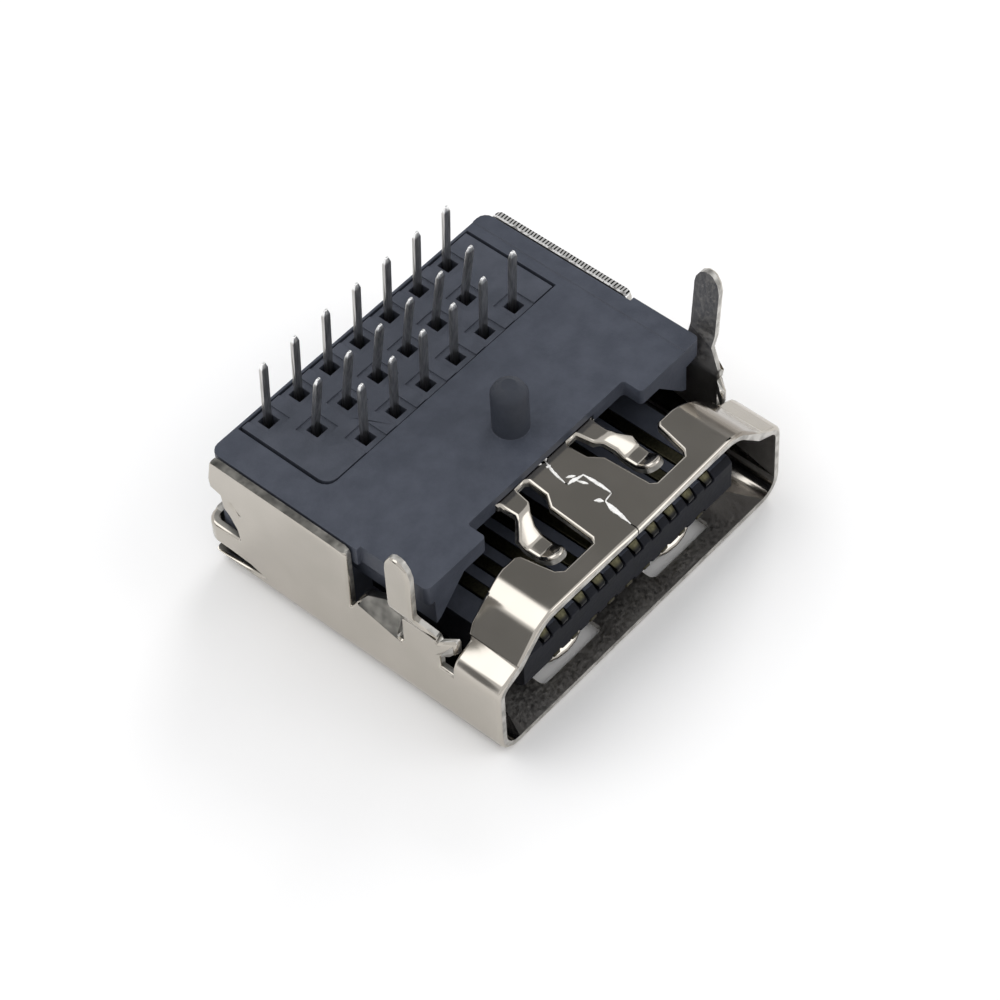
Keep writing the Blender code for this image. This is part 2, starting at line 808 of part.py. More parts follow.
def turned(name, x, depth, profile, steps):
    """A turned shape on an upright axis, from its radii and heights."""
    points = []
    for radius, z in profile:
        points += [(px, py - DEPTH / 2, z) for px, py in circle(x, depth, radius, steps)]
    faces = [tuple(reversed(range(steps)))]
    for ring in range(len(profile) - 1):
        for k in range(steps):
            a = ring * steps + k
            b = ring * steps + (k + 1) % steps
            faces.append((a, b, b + steps, a + steps))
    faces.append(tuple(range(len(points) - steps, len(points))))
    return mesh_object(name, points, faces)


peg_top = BOARD + PEG_HEIGHT
peg = turned(
    "housing_peg",
    PEG_X,
    PEG_DEPTH,
    [
        (PEG_ACROSS / 2, TOP_IN + 0.4),
        (PEG_ACROSS / 2, peg_top - PEG_CHAMFER),
        (PEG_ACROSS / 2 - 0.12, peg_top - 0.16),
        (PEG_ACROSS / 2 - PEG_CHAMFER, peg_top),
    ],
    24,
)


# The contacts lie in turn on the two sides of the tongue. Those of the wide side end in the rear
# and middle rows, those of the narrow side in the front and middle rows.

WIDE_TAILS = [("rear", -3), ("rear", -2), ("middle", -1.5), ("rear", -1), ("rear", 0)]
WIDE_TAILS += [("rear", 1), ("middle", 1.5), ("rear", 2), ("rear", 3)]
NARROW_TAILS = [("middle", -2.5), ("front", -2), ("front", -1), ("middle", -0.5), ("front", 0)]
NARROW_TAILS += [("middle", 0.5), ("front", 1), ("front", 2), ("middle", 2.5), ("front", 3)]
ROWS = {
    "rear": (REAR_ROW, (0.03, -0.08)),
    "middle": (REAR_ROW - ROW_GAP, (-0.07, -0.43)),
    "front": (REAR_ROW - 2 * ROW_GAP, (-0.12, -0.18)),
}
HALF_THICK = CONTACT_THICK / 2
NARROW_RUN = TONGUE_HIGH + CONTACT_PROUD - HALF_THICK
WIDE_RUN = TONGUE_LOW - CONTACT_PROUD + HALF_THICK
CHAMBER_FRONT = BASE_FRONT + BASE_THICK
JOG_REAR = REAR_ROW - 2 * ROW_GAP - 0.45
TAIL_BEND = 0.25
TAIL_TOP = BOARD + TAIL_RISE


def bar(name, stations):
    """A formed strip through stations of (x, depth, height, slope, width, thickness)."""
    points = []
    for x, depth, z, slope, width, thick in stations:
        across = (width / 2, -width / 2, -width / 2, width / 2)
        up = (thick / 2, thick / 2, -thick / 2, -thick / 2)
        for a, u in zip(across, up):
            y = depth - DEPTH / 2 - u * math.sin(slope)
            points.append((x + a, y, z + u * math.cos(slope)))
    faces = [(3, 2, 1, 0)]
    for i in range(len(stations) - 1):
        for k in range(4):
            a = 4 * i + k
            b = 4 * i + (k + 1) % 4
            faces.append((a, b, b + 4, a + 4))
    last = len(points)
    faces.append((last - 4, last - 3, last - 2, last - 1))
    return mesh_object(name, points, faces)


def contact(number, row, place):
    """One contact: tip, run along the tongue, jog to its column, bend and tail."""
    narrow = number % 2 == 1
    x = (number - 10) * CONTACT_STEP
    z = NARROW_RUN if narrow else WIDE_RUN
    toward = 1 if narrow else -1
    depth, lean = ROWS[row]
    column = TAIL_MIDDLE + place * TAIL_PITCH + HOLE_PLAY[0]
    depth += HOLE_PLAY[1]
    tip = z - toward * CONTACT_DROP
    stations = [
        (x, CONTACT_FRONT, tip, 0, CONTACT_WIDE - 0.14, CONTACT_THICK),
        (x, CONTACT_FRONT + 0.09, tip + toward * 0.04, 0, CONTACT_WIDE - 0.08, CONTACT_THICK),
        (x, CONTACT_FRONT + 0.28, z, 0, CONTACT_WIDE, CONTACT_THICK),
        (x, CHAMBER_FRONT + 0.05, z, 0, CONTACT_WIDE, CONTACT_THICK),
        (column, JOG_REAR, z, 0, TAIL_WIDE, CONTACT_THICK),
    ]
    radius = TAIL_BEND
    for k in range(4):
        turn = k * math.pi / 6
        y = depth - radius + radius * math.sin(turn)
        up = z + radius - radius * math.cos(turn)
        stations.append((column, y, up, turn, TAIL_WIDE, CONTACT_THICK))
    thick = CONTACT_THICK
    up = math.pi / 2
    taper = TAIL_TOP - 0.28
    share = (taper - BOARD) / TAIL_RISE
    tip_x = column + lean[0] - HOLE_PLAY[0]
    tip_y = depth + lean[1] - HOLE_PLAY[1]
    stations.append((column, depth, BOARD - BLOCK_THICK - 0.2, up, TAIL_WIDE, thick))
    stations.append((column, depth, BOARD, up, TAIL_WIDE, thick))
    near_x = column + (tip_x - column) * share
    near_y = depth + (tip_y - depth) * share
    stations.append((near_x, near_y, taper, up, TAIL_WIDE, thick))
    stations.append((tip_x, tip_y, TAIL_TOP, up, 0.5 * TAIL_WIDE, 0.5 * thick))
    made = bar(f"contact_{number:02d}", stations)
    made.data.materials.append(plating)
    return x, z


plating = material("contact_plate", (0.48, 0.46, 0.42), 1.0, 0.30)
slots = []
nicks = []
for number in range(1, 20):
    narrow = number % 2 == 1
    row, place = (NARROW_TAILS if narrow else WIDE_TAILS)[(number - 1) // 2]
    x, z = contact(number, row, place)
    reach = CONTACT_WIDE / 2 + CLEAR
    low = z - HALF_THICK - (CLEAR if narrow else 0.6)
    high = z + HALF_THICK + (0.6 if narrow else CLEAR)
    slots.append((x - reach, x + reach, TONGUE_FRONT - 0.3, CHAMBER_FRONT + 0.2, low, high))
    if narrow:
        low -= CONTACT_DROP
    else:
        high += CONTACT_DROP
    nicks.append((x - reach, x + reach, TONGUE_FRONT - 0.2, CONTACT_FRONT + 0.32, low, high))

CHAMBER_LEFT = BLOCK_LEFT + LEDGE
CHAMBER_RIGHT = BLOCK_RIGHT - LEDGE
CHAMBER_REAR = BLOCK_REAR - 0.15
CHAMBER_LOW = WIDE_RUN - HALF_THICK - 0.12
CHAMBER_HIGH = BOARD - BLOCK_THICK - 0.5
THROAT_FRONT = BLOCK_FRONT + LEDGE
grooves = boxes("housing_grooves", slots)
groove_ends = boxes("housing_groove_ends", nicks)
chamber = boxes(
    "housing_chamber",
    [(CHAMBER_LEFT, CHAMBER_RIGHT, CHAMBER_FRONT, CHAMBER_REAR, CHAMBER_LOW, CHAMBER_HIGH)],
)
throat = boxes(
    "housing_throat",
    [(CHAMBER_LEFT, CHAMBER_RIGHT, THROAT_FRONT, CHAMBER_REAR, CHAMBER_LOW + 0.5, BOARD - 0.4)],
)


def block_plan(side, end):
    """The outline of the tail block, grown by these gaps, with its rounded front left corner."""
    return loop_rounded(
        [
            (BLOCK_LEFT - side, BLOCK_REAR + end),
            (BLOCK_LEFT - side, BLOCK_FRONT - end),
            (BLOCK_RIGHT + side, BLOCK_FRONT - end),
            (BLOCK_RIGHT + side, BLOCK_REAR + end),
        ],
        [0, BLOCK_ROUND, 0, 0],
    )


BLOCK_LOW = BOARD - BLOCK_THICK
pocket = plate("housing_pocket", [(True, block_plan(SIDE_GAP, CLEAR))], BLOCK_LOW - 0.03, BOARD + 1)
BAND_ROOM = BAND_HALF + CLEAR
band_space = boxes(
    "housing_band_space",
    [
        (
            -BAND_ROOM,
            BAND_ROOM,
            WING_FRONT - 1,
            BAND_REAR + CLEAR,
            TOP_IN - 1,
            TOP_MID + SHEET / 2 + CLEAR,
        )
    ],
)

apply_tool(housing, roof, "UNION")
apply_tool(housing, outline, "INTERSECT")
apply_tool(housing, tongue, "UNION")
apply_tool(housing, peg, "UNION")
apply_tool(housing, chamber, "DIFFERENCE")
apply_tool(housing, throat, "DIFFERENCE")
apply_tool(housing, pocket, "DIFFERENCE")
apply_tool(housing, grooves, "DIFFERENCE")
apply_tool(housing, groove_ends, "DIFFERENCE")
apply_tool(housing, band_space, "DIFFERENCE")
housing.data.materials.append(material("housing_plastic", (0.07, 0.075, 0.085), 0.0, 0.55))


# The block that lines up the tails: one square hole to each, in a shallow square lead-in.

block_shapes = [(True, block_plan(0, 0))]
lead_ins = []
for row, place in WIDE_TAILS + NARROW_TAILS:
    x = TAIL_MIDDLE + place * TAIL_PITCH
    depth = ROWS[row][0]
    h = HOLE / 2
    corners = [(x - h, depth - h), (x + h, depth - h), (x + h, depth + h), (x - h, depth + h)]
    block_shapes.append((False, corners))
    g = LEAD_IN / 2
    lead_ins.append((x - g, x + g, depth - g, depth + g, BOARD - LEAD_IN_DEEP, BOARD + 0.5))
aligner = plate("tail_aligner", block_shapes, BLOCK_LOW, BOARD)
apply_tool(aligner, boxes("aligner_lead_ins", lead_ins), "DIFFERENCE")
aligner.data.materials.append(material("aligner_plastic", (0.075, 0.08, 0.09), 0.0, 0.5))
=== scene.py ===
"""The looks of the board-mounted video socket: materials, softened edges, light and camera.

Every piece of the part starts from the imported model, so it stays where the solids are. Only the
burrs along the seam and the floor are made here. The scene is in metres. Lengths in millimetres
are turned into metres with MM, and the meshes are worked on in millimetres.
"""

import math

import bmesh
import bpy
from mathutils import Matrix, Vector, noise as noise_field
from mathutils.bvhtree import BVHTree


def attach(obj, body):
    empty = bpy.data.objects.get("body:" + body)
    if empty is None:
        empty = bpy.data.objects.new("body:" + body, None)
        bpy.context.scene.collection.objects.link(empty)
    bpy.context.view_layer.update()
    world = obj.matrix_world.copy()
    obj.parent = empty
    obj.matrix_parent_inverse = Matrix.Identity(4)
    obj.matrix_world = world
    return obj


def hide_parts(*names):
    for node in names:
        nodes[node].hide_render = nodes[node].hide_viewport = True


MM = 0.001
PER_METRE = 1000

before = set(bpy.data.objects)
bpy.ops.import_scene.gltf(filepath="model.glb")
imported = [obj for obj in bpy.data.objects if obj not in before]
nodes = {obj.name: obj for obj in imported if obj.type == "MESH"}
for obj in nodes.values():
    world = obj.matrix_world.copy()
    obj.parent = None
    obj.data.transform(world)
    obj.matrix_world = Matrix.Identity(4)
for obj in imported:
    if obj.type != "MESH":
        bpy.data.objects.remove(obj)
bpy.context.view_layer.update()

# Where the part lies, in millimetres: the edge of its mouth is at -HALF_DEPTH along y, the outer
# skin of its narrow face at TOP, and the face that meets the board at BOARD. The shell's material
# is SHEET thick.

HALF_DEPTH = 6.625
TOP = 5.20
BOARD = 5.60
SHEET = 0.30


# Materials.


def new_node(material, kind):
    return material.node_tree.nodes.new(kind)


def wire(material, output, socket):
    material.node_tree.links.new(output, socket)


def set_shader(material, setting, value):
    material.node_tree.nodes["Principled BSDF"].inputs[setting].default_value = value


def start_material(name, colour, metallic, roughness):
    """A Principled material whose constants sit on the shader's own sockets."""
    made = bpy.data.materials.new(name)
    made.use_nodes = True
    set_shader(made, "Base Color", (*colour, 1))
    set_shader(made, "Metallic", metallic)
    set_shader(made, "Roughness", roughness)
    return made, made.node_tree.nodes["Principled BSDF"]


def place(material, scale=(1, 1, 1)):
    """Coordinates in the object's own space, in millimetres, stretched if asked."""
    coords = new_node(material, "ShaderNodeTexCoord")
    mapping = new_node(material, "ShaderNodeMapping")
    mapping.inputs["Scale"].default_value = [PER_METRE * part for part in scale]
    wire(material, coords.outputs["Object"], mapping.inputs["Vector"])
    return mapping.outputs["Vector"]


def axis(material, letter):
    """One of the three coordinates in the object's own space, in metres."""
    coords = new_node(material, "ShaderNodeTexCoord")
    split = new_node(material, "ShaderNodeSeparateXYZ")
    wire(material, coords.outputs["Object"], split.inputs["Vector"])
    return split.outputs[letter]


def noise(material, vector, scale, detail=3.0, rough=0.55):
    made = new_node(material, "ShaderNodeTexNoise")
    made.inputs["Scale"].default_value = scale
    made.inputs["Detail"].default_value = detail
    made.inputs["Roughness"].default_value = rough
    wire(material, vector, made.inputs["Vector"])
    return made.outputs["Fac"]


def spread(material, value, low, high, to_low=0.0, to_high=1.0):
    """The value with its range from low to high spread over another, and clamped there."""
    made = new_node(material, "ShaderNodeMapRange")
    made.inputs["From Min"].default_value = low
    made.inputs["From Max"].default_value = high
    made.inputs["To Min"].default_value = to_low
    made.inputs["To Max"].default_value = to_high
    wire(material, value, made.inputs["Value"])
    return made.outputs["Result"]


def fade(material, value, start, end):
    """0 before the start and 1 past the end, both in millimetres and in either order."""
    return spread(material, value, start * MM, end * MM)


def blend_colours(material, share, first, second):
    """A mix of two colours, each given as a colour or as the output of a node."""
    made = new_node(material, "ShaderNodeMix")
    made.data_type = "RGBA"
    wire(material, share, made.inputs["Factor"])
    for name, colour in (("A", first), ("B", second)):
        socket = [s for s in made.inputs if s.name == name and s.type == "RGBA"][0]
        if isinstance(colour, tuple):
            socket.default_value = (*colour, 1)
        else:
            wire(material, colour, socket)
    return [s for s in made.outputs if s.type == "RGBA"][0]


def combine(material, kind, first, second):
    """The result of one math node, from two outputs or from an output and a number."""
    made = new_node(material, "ShaderNodeMath")
    made.operation = kind
    for socket, value in zip(made.inputs, (first, second)):
        if isinstance(value, float):
            socket.default_value = value
        else:
            wire(material, value, socket)
    return made.outputs["Value"]


def times(material, first, second):
    return combine(material, "MULTIPLY", first, second)


def add_share(material, value, other, share):
    """The value with a share of another one added to it."""
    return combine(material, "ADD", value, times(material, other, share))


def bump(material, shader, height, distance, strength):
    made = new_node(material, "ShaderNodeBump")
    made.inputs["Distance"].default_value = distance * MM
    made.inputs["Strength"].default_value = strength
    wire(material, height, made.inputs["Height"])
    wire(material, made.outputs["Normal"], shader.inputs["Normal"])


# The painted dark reflection on the right slant of the collar, a darker brown patch of plate:
# where it starts and is full, on each side.

DARK_REFLECTION_LEFT = (5.0, 5.5)
DARK_REFLECTION_RIGHT = (7.2, 6.7)
DARK_REFLECTION_LOW = (4.0, 4.3)
DARK_REFLECTION_REAR = (-4.2, -4.4)
DARK_REFLECTION_RAGGED = 1.3


def nickel():
    """Bright plate on rolled sheet: soft clouding, a faint rolled grain, a darker brown patch as
    painted dark reflection.
    """
    made, shader = start_material("nickel_plate", (0.50, 0.465, 0.415), 1.0, 0.14)
    cloud = noise(made, place(made), 0.45, 2.0)
    fine = noise(made, place(made, (1, 0.06, 1)), 14.0, 3.0)
    plate_tone = blend_colours(
        made, spread(made, cloud, 0.35, 0.65), (0.47, 0.44, 0.39), (0.515, 0.48, 0.43)
    )
    dark_reflection_noise = noise(made, place(made, (1, 0.25, 1)), 1.6, 3.0)
    ragged = add_share(made, axis(made, "X"), dark_reflection_noise, DARK_REFLECTION_RAGGED * MM)
    # Where the right slant mirrors dark surroundings, the plate is painted darker: painted dark
    # reflection.
    painted_dark_reflection = times(
        made,
        times(made, fade(made, ragged, *DARK_REFLECTION_LEFT), fade(made, ragged, *DARK_REFLECTION_RIGHT)),
        times(
            made, fade(made, axis(made, "Z"), *DARK_REFLECTION_LOW), fade(made, axis(made, "Y"), *DARK_REFLECTION_REAR)
        ),
    )
    tint = blend_colours(made, painted_dark_reflection, plate_tone, (0.27, 0.24, 0.205))
    wire(made, tint, shader.inputs["Base Color"])
    wire(made, spread(made, cloud, 0.3, 0.7, 0.10, 0.17), shader.inputs["Roughness"])
    bump(made, shader, fine, 0.001, 0.4)
    return made


def cut_metal(name, dark, light, scale, low, high, depth):
    """Torn bands and specks of dark and light: sheared edges, and plate copies with painted shade
    and light.
    """
    made, shader = start_material(name, light, 1.0, 0.4)
    streak = noise(made, place(made, scale), 1.0, 2.0, 0.45)
    speck = noise(made, place(made), 7.0, 3.0)
    tint = blend_colours(made, spread(made, streak, low, high), dark, light)
    wire(made, tint, shader.inputs["Base Color"])
    wire(made, spread(made, speck, 0.3, 0.7, 0.3, 0.55), shader.inputs["Roughness"])
    bump(made, shader, streak, depth, 0.8)
    return made


LADDER_INNER = (7.12, 7.15)
LADDER_RAGGED = 0.08


def ladder_metal():
    """A coined cut face: fine dark rungs along its outer part, torn and bright on the inner; the
    near-black and near-white are painted shade and glints.
    """
    made, shader = start_material("ladder_edge", (0.5, 0.49, 0.47), 1.0, 0.35)
    wave = new_node(made, "ShaderNodeTexWave")
    wave.wave_type = "BANDS"
    wave.bands_direction = "Y"
    for setting, value in (
        ("Scale", 2.35),
        ("Distortion", 2.2),
        ("Detail", 2.0),
        ("Detail Scale", 0.6),
    ):
        wave.inputs[setting].default_value = value
    wire(made, place(made), wave.inputs["Vector"])
    band = spread(made, wave.outputs["Fac"], 0.30, 0.62)
    # Near-black rungs: painted shade between the ridges of the coined face.
    rungs_and_painted_shade = blend_colours(made, band, (0.02, 0.02, 0.02), (0.72, 0.71, 0.69))
    speck = noise(made, place(made), 6.0, 2.0)
    tear = spread(made, speck, 0.40, 0.52)
    # Near-white torn specks: painted glints on the ridges.
    torn_and_painted_glints = blend_colours(made, tear, (0.35, 0.34, 0.33), (0.98, 0.97, 0.95))
    ragged = add_share(made, axis(made, "X"), speck, LADDER_RAGGED * MM)
    tint = blend_colours(made, fade(made, ragged, *LADDER_INNER), torn_and_painted_glints, rungs_and_painted_shade)
    wire(made, tint, shader.inputs["Base Color"])
    bump(made, shader, wave.outputs["Fac"], 0.02, 0.6)
    return made


def plastic(name, dark, light, rough, gloss):
    """Moulded slate grey plastic: fine spark texture, soft clouding and rubbed patches."""
    made, shader = start_material(name, dark, 0.0, 0.5)
    set_shader(made, "Specular IOR Level", gloss)
    at = place(made)
    cloud = noise(made, at, 1.3, 6.0, 0.62)
    grain = noise(made, at, 7.0, 4.0, 0.6)
    tint = blend_colours(made, spread(made, cloud, 0.36, 0.66), dark, light)
    wire(made, tint, shader.inputs["Base Color"])
    rubbed = spread(made, cloud, 0.3, 0.7, rough - 0.05, rough + 0.08)
    wire(made, rubbed, shader.inputs["Roughness"])
    bump(made, shader, grain, 0.020, 0.6)
    return made


# Heights on a contact: where its gold turns to tin, its tip painted bright as a highlight, and the
# band of painted shade on the noses at the narrow side of the tongue.

TIN_FROM = (3.6, 4.4)
TIP_GLINT_FROM = (8.20, 8.30)
NOSE_SHADE_FROM = (2.0, 2.1)
NOSE_SHADE_TO = (2.96, 2.90)


def contact_metal():
    """Gold darkened at the tongue as painted shade, dull tin on the tails, with faint drawing
    marks.
    """
    made, shader = start_material("contact_plate", (0.30, 0.295, 0.28), 1.0, 0.3)
    height = axis(made, "Z")
    marks = noise(made, place(made, (4, 4, 0.3)), 3.0, 2.0)
    mark = spread(made, marks, 0.35, 0.65)
    tin = blend_colours(made, mark, (0.40, 0.395, 0.38), (0.62, 0.61, 0.585))
    # The gold at the tongue is darkened: painted shade inside the mouth.
    gold_in_painted_shade = blend_colours(made, mark, (0.050, 0.047, 0.028), (0.080, 0.074, 0.045))
    # A near-black band on the noses: painted shade.
    nose_shade = times(made, fade(made, height, *NOSE_SHADE_FROM), fade(made, height, *NOSE_SHADE_TO))
    gold_in_painted_shade = blend_colours(made, nose_shade, gold_in_painted_shade, (0.014, 0.014, 0.014))
    plate = blend_colours(made, fade(made, height, *TIN_FROM), gold_in_painted_shade, tin)
    # The tails' tips turn near white: painted highlight.
    tint = blend_colours(made, fade(made, height, *TIP_GLINT_FROM), plate, (0.95, 0.95, 0.94))
    wire(made, tint, shader.inputs["Base Color"])
    bump(made, shader, marks, 0.004, 0.4)
    return made


metal = nickel()
# A darker, rougher copy of the plate for the inner skins deep in the mouth: painted shade.
mouth_metal_painted_shade = cut_metal(
    "mouth_plate_painted_shade", (0.26, 0.245, 0.235), (0.40, 0.385, 0.37), (0.5, 0.5, 0.5), 0.35, 0.65, 0.004
)
# A lighter copy of the plate for the inner skins above LEGS_FROM: painted light.
leg_metal_painted_light = cut_metal(
    "leg_inner_plate_painted_light", (0.50, 0.48, 0.45), (0.62, 0.60, 0.57), (0.5, 0.5, 0.5), 0.35, 0.65, 0.004
)
# Dark cut edge of the left wall's top, also used as painted shade on the lip and inside the slit.
left_cut_and_shade = cut_metal(
    "left_edge_cut_and_painted_shade", (0.11, 0.108, 0.10), (0.30, 0.29, 0.265), (1.6, 1.2, 1.6), 0.35, 0.65, 0.02
)
right_cut = ladder_metal()
plain_cut = cut_metal(
    "cut_edge", (0.32, 0.31, 0.29), (0.56, 0.545, 0.515), (2.6, 2.6, 2.6), 0.36, 0.62, 0.02
)
# Near-white and barely metallic, so the burrs look lit: painted highlight.
burr_painted_highlight = cut_metal(
    "painted_highlight_burr", (0.80, 0.79, 0.77), (0.98, 0.97, 0.95), (5, 5, 5), 0.35, 0.60, 0.01
)
set_shader(burr_painted_highlight, "Metallic", 0.2)
housing_plastic = plastic(
    "housing_plastic", (0.042, 0.048, 0.065), (0.056, 0.063, 0.083), 0.5, 0.35
)
aligner_plastic = plastic(
    "aligner_plastic", (0.045, 0.051, 0.067), (0.059, 0.065, 0.084), 0.5, 0.35
)
# The tongue deep in the mouth is darker than the housing: painted shade.
tongue_plastic_painted_shade = plastic("tongue_plastic_painted_shade", (0.006, 0.007, 0.010), (0.011, 0.012, 0.017), 0.5, 0.12)
# The peg is darker than the housing: painted shade.
peg_plastic_painted_shade = plastic("peg_plastic_painted_shade", (0.022, 0.026, 0.036), (0.030, 0.034, 0.046), 0.55, 0.35)
contact_plate_and_painted_light = contact_metal()


# Work on the meshes: how near two points are joined, and from how many degrees an edge is sharp.

JOIN_SPLIT = 2e-4
JOIN_SHELL = 0.02
JOIN_MOULDED = 0.008
SHELL_SHARP = 50
MOULDED_SHARP = 30
UPWARD = 0.5


def loaded_form(node):
    """The node's own mesh in millimetres, with its split points joined."""
    form = bmesh.new()
    form.from_mesh(nodes[node].data)
    bmesh.ops.transform(form, matrix=Matrix.Scale(PER_METRE, 4), verts=form.verts)
    bmesh.ops.remove_doubles(form, verts=form.verts, dist=JOIN_SPLIT)
    bmesh.ops.recalc_face_normals(form, faces=form.faces)
    return form


def join_flat(form):
    bmesh.ops.dissolve_limit(
        form,
        angle_limit=math.radians(1.0),
        verts=form.verts,
        edges=form.edges,
        delimit={"MATERIAL"},
    )


def sharp_edges(form, least, wanted=lambda edge: True):
    """The wanted edges between two faces that meet at more than `least` degrees."""
    angle = math.radians(least)
    return [
        edge
        for edge in form.edges
        if len(edge.link_faces) == 2 and edge.calc_face_angle(0) > angle and wanted(edge)
    ]


def soften(form, edges, width, steps, clamp, slot=-1):
    bmesh.ops.bevel(
        form,
        geom=edges,
        offset=width,
        segments=steps,
        profile=0.5,
        affect="EDGES",
        clamp_overlap=clamp,
        material=slot,
    )


def finished(form, name, node, materials, smooth):
    """The form as an object that rides on the body and stands for its node, if it has one."""
    mesh = bpy.data.meshes.new(name)
    for face in form.faces:
        face.smooth = True
    bmesh.ops.transform(form, matrix=Matrix.Scale(MM, 4), verts=form.verts)
    form.to_mesh(mesh)
    form.free()
    mesh.set_sharp_from_angle(angle=math.radians(smooth))
    made = bpy.data.objects.new(name, mesh)
    bpy.context.scene.collection.objects.link(made)
    for material in materials:
        mesh.materials.append(material)
    weighing = made.modifiers.new("level", "WEIGHTED_NORMAL")
    weighing.keep_sharp = True
    weighing.weight = 100
    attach(made, "root")
    if node:
        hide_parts(node)
    return made


def settle_normals(made, wanted):
    """Keeps the weighted normals, except at the corners for which wanted() gives another."""
    weighed = made.evaluated_get(bpy.context.evaluated_depsgraph_get()).to_mesh()
    normals = [Vector(corner.vector) for corner in weighed.corner_normals]
    made.to_mesh_clear()
    for face in made.data.polygons:
        for corner in face.loop_indices:
            point = made.data.vertices[made.data.loops[corner].vertex_index].co * PER_METRE
            normals[corner] = wanted(face, point) or normals[corner]
    made.modifiers.clear()
    made.data.normals_split_custom_set(normals)


# The shell. Its cut faces are found by looking straight through the sheet: a skin has the other
# skin one thickness behind it. The outer edges are rolled over as shearing leaves them.

METAL, LEFT_CUT_AND_SHADE, RIGHT_CUT, PLAIN_CUT, MOUTH_SHADE, LEG_INNER_LIT = range(6)

MIDDLE_HEIGHT = 2.6
MOUTH_REAR = -2.6
LEGS_FROM = 3.4
WALL_INNER = 6.6
WALL_TOP_REACH = 7.4
LIP_HEIGHTS = (2.2, 4.6)
LIP_DEPTHS = (-4.3, -0.6)
LIP_UPWARD = 0.4
SLIT_FROM = 3.0
SLIT_BELOW = 2.6
SPRING_TILT = 0.2
SPRING_HEIGHTS = (0.7, 1.0)
SPRING_REACH = 4.2


def within(value, limits):
    return limits[0] < value < limits[1]


def faces_out(face):
    middle = face.calc_center_median()
    return face.normal.dot(Vector((middle.x, 0, middle.z - MIDDLE_HEIGHT))) > 0


def in_wide_spring(face):
    """The upper skin of the two springs that rise from the wide face into the mouth."""
    middle = face.calc_center_median()
    sloped = abs(face.normal.y) > SPRING_TILT or middle.z > SPRING_HEIGHTS[0]
    near = middle.z < SPRING_HEIGHTS[1] and abs(middle.x) < SPRING_REACH
    return sloped and near and face.normal.z > UPWARD


def shell_slot(face, tree):
    """The material slot of one face of the shell."""
    middle = face.calc_center_median()
    behind = tree.ray_cast(middle - face.normal * 1e-3, -face.normal)[3]
    is_skin = behind is not None and 0.8 * SHEET < behind < 1.2 * SHEET
    if abs(middle.x) > WALL_INNER:
        by_lip = within(middle.z, LIP_HEIGHTS) and within(middle.y, LIP_DEPTHS)
        lip = by_lip and faces_out(face) and face.normal.z > LIP_UPWARD
        slit = not is_skin and middle.y > SLIT_FROM and middle.z < SLIT_BELOW
        # The lip's upward skin and the slit's inside take the dark left cut material: painted
        # shade.
        if lip or slit:
            return LEFT_CUT_AND_SHADE
    if not is_skin:
        if face.normal.z > UPWARD and middle.z > TOP and abs(middle.x) < WALL_TOP_REACH:
            return LEFT_CUT_AND_SHADE if middle.x < 0 else RIGHT_CUT
        return PLAIN_CUT
    if faces_out(face):
        return METAL
    # The inner skins deep in the mouth take the darker plate: painted shade.
    if middle.z < TOP and middle.y < MOUTH_REAR and not in_wide_spring(face):
        return MOUTH_SHADE
    # Inner skins above LEGS_FROM take the lighter plate: painted light.
    return LEG_INNER_LIT if middle.z > LEGS_FROM else METAL


# The bend between the collar's flat top and its slant is a long soft one. The skins are cut along
# lines through the bend's own centre and drawn in onto their two arcs.

BEND = 1.60
BEND_CORNER = 5.022
BEND_X = BEND_CORNER - BEND * math.tan(math.radians(22.5))
BEND_Z = TOP - BEND
BEND_LINES = 10
BEND_LINE_ANGLE = 5
BEND_FROM = 4.2
COLLAR_REAR = 2.5 - HALF_DEPTH


def bend_arm(point, half):
    """From the bend's centre line to a point beside it, as (outward, upward)."""
    return Vector((half * point.x - BEND_X, point.z - BEND_Z))


def in_collar_half(point, half):
    return half * point.x > BEND_FROM and point.z > BEND_Z and point.y < COLLAR_REAR


def round_bend(form, half):
    """Draws the collar's bend on one half, -1 for the left and 1 for the right."""
    for line in range(BEND_LINES):
        lean = math.radians(BEND_LINE_ANGLE * line)
        near = [f for f in form.faces if any(in_collar_half(v.co, half) for v in f.verts)]
        edges = dict.fromkeys(edge for face in near for edge in face.edges)
        points = dict.fromkeys(point for face in near for point in face.verts)
        bmesh.ops.bisect_plane(
            form,
            geom=[*near, *edges, *points],
            dist=1e-4,
            plane_co=(half * BEND_X, 0, BEND_Z),
            plane_no=(half * math.cos(lean), 0, -math.sin(lean)),
        )
    for point in form.verts:
        away = bend_arm(point.co, half)
        if point.co.y > COLLAR_REAR or away.x < 0 or away.y < away.x - 1e-3:
            continue
        for radius in (BEND, BEND - SHEET):
            if radius - 0.01 < away.length < radius * 1.1:
                away = away.normalized() * radius
                point.co.x = half * (BEND_X + away.x)
                point.co.z = BEND_Z + away.y


# The step at the collar's rear edge is worn down to a slope.

STEP_X = 4.312
STEP_END = 5.3
STEP_ABOVE = 4.4
STEP_DEPTH = 2.25
STEP_SIZE = 0.15
STEP_RUN = 0.9
STEP_NEAR = 0.02


def wear_step(form):
    for point in form.verts:
        across = abs(point.co.x)
        behind = abs(point.co.y + HALF_DEPTH - STEP_DEPTH)
        on_edge = behind < STEP_NEAR and point.co.z > STEP_ABOVE
        if on_edge and STEP_X - STEP_NEAR < across < STEP_END:
            worn = min(1.0, max(0.0, (across - STEP_X) / STEP_RUN))
            point.co.y += STEP_SIZE * (1 - worn)


# The right leg leans outward from this height on, by LEAN over its upper LEAN_OVER.

LEAN = 0.25
LEAN_FROM = 5.85
LEAN_OVER = 2.2
LEG_INSIDE = 7.2


